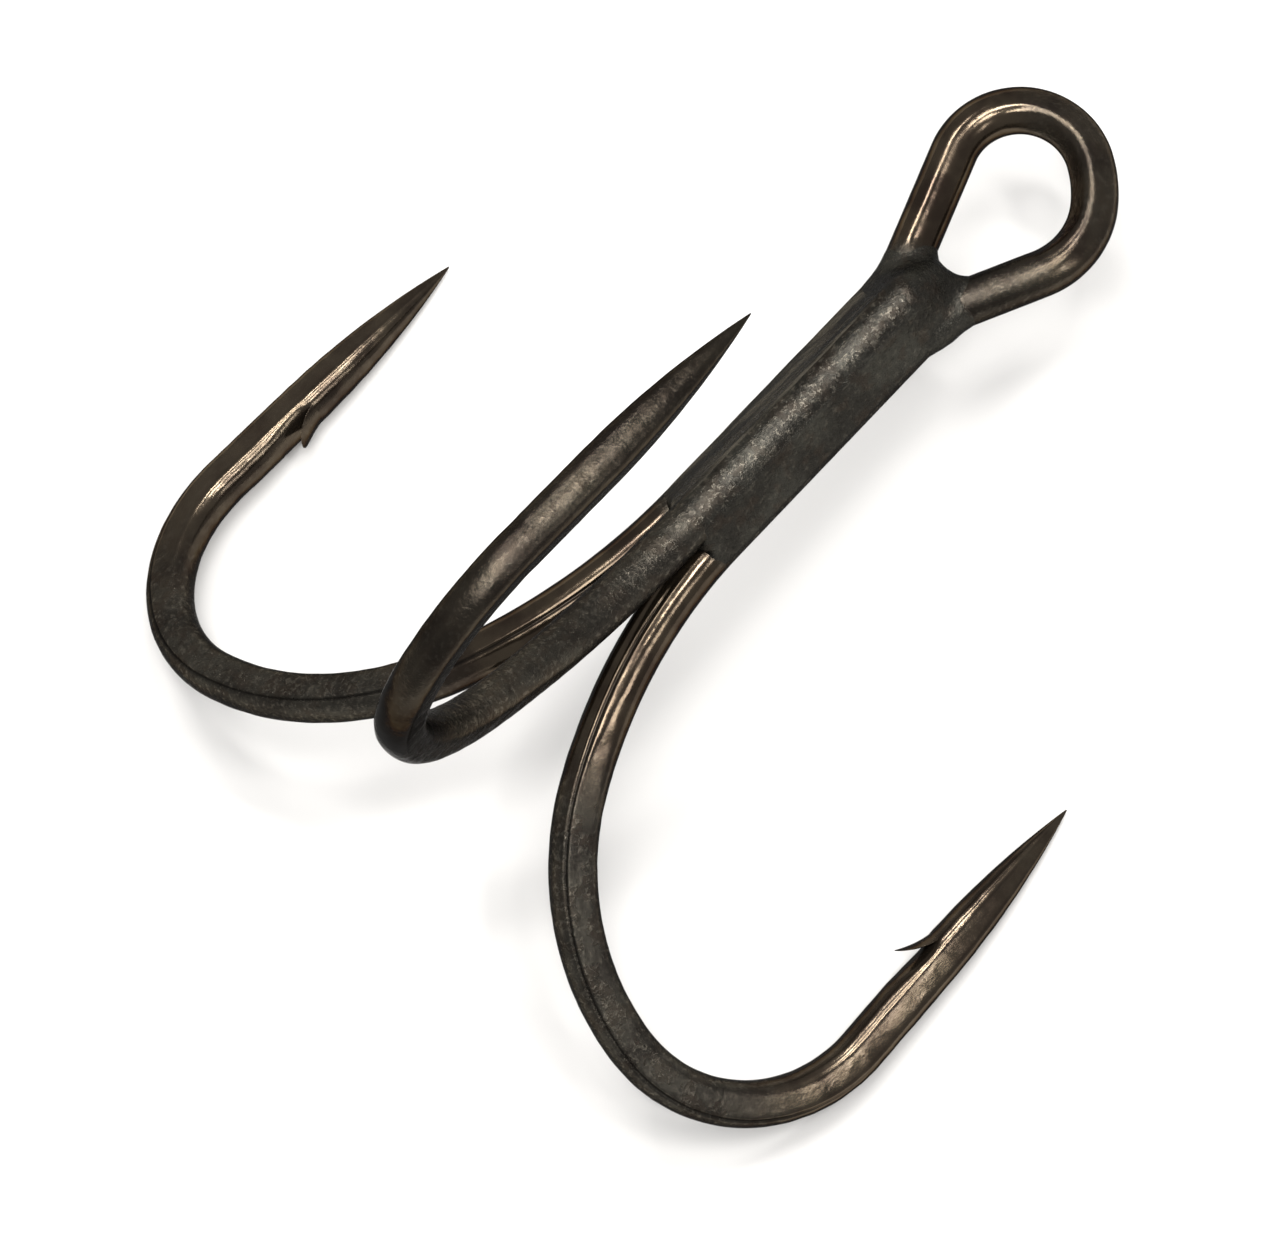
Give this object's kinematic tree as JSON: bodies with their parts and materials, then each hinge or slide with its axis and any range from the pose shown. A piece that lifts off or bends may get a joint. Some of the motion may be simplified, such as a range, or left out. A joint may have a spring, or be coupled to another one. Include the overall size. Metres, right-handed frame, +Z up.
{
  "type": "treble hook",
  "caption": "Barbed fishing treble hook with equal round-bend hooks brazed around one shank, a teardrop ring eye, forged bends and ogive needle points.",
  "frame": {"origin": "centre of the bounding box in X and Y, on the plane z = 0 that the part lies on", "axes": "+X along the shank from the eye towards the bends, level; +Z up, with the single hook standing up and the two hooks of the double hook down; XZ is the mirror plane"},
  "size_m": [0.047, 0.0424, 0.0376],
  "materials": {
    "wire": "high-carbon steel wire with a dark bronze black-nickel plating, semi-gloss on the round wire and satin on the forged flats",
    "braze": "braze under the same black-nickel plating, matte with a fine grain"
  },
  "bodies": {
    "root": {"double_hook": "wire", "single_hook": "wire", "braze_seam_left": "braze", "braze_seam_right": "braze", "braze_seam_rear": "braze", "braze_core": "braze", "braze_neck_web": "braze"}
  },
  "joints": []
}
